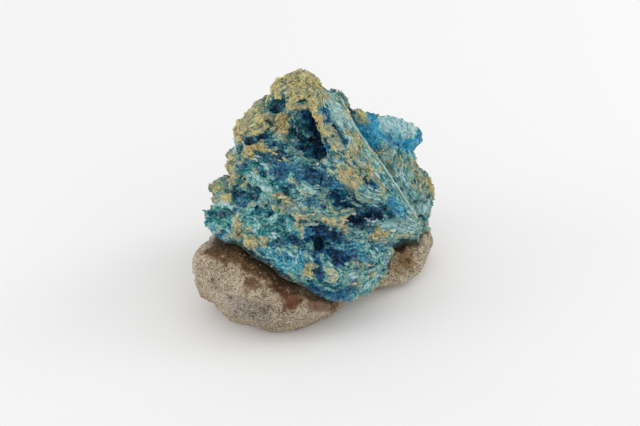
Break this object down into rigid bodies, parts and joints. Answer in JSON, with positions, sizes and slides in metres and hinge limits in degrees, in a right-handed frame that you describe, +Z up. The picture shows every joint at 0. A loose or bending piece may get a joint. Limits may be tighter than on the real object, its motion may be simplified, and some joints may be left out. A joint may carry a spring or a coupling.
{
  "type": "chalcanthite mineral specimen",
  "caption": "Craggy blue-green crystal mass with a straight-edged slab, hollows and tan crust, grown on a lump of sandy rock that rests flat.",
  "frame": {"origin": "middle of the footprint of the whole specimen, on the flat underside of the rock", "axes": "+X to the right as displayed, +Y away from the display side, +Z up to the summit"},
  "size_m": [0.07, 0.0636, 0.0643],
  "materials": {
    "sandy_rock": "rough speckled grey-tan sandy matrix, with a glossy dark brown stain below the crystals and red-brown patches",
    "blue_crystal_and_crust": "blue to teal crystal, fibrous and blocky, dark navy in the hollows, sky blue at the rear cluster, with an ochre and olive-tan granular crust on the high spots"
  },
  "bodies": {
    "root": {"matrix_rock": "sandy_rock", "chalcanthite_mass": "blue_crystal_and_crust"}
  },
  "joints": []
}
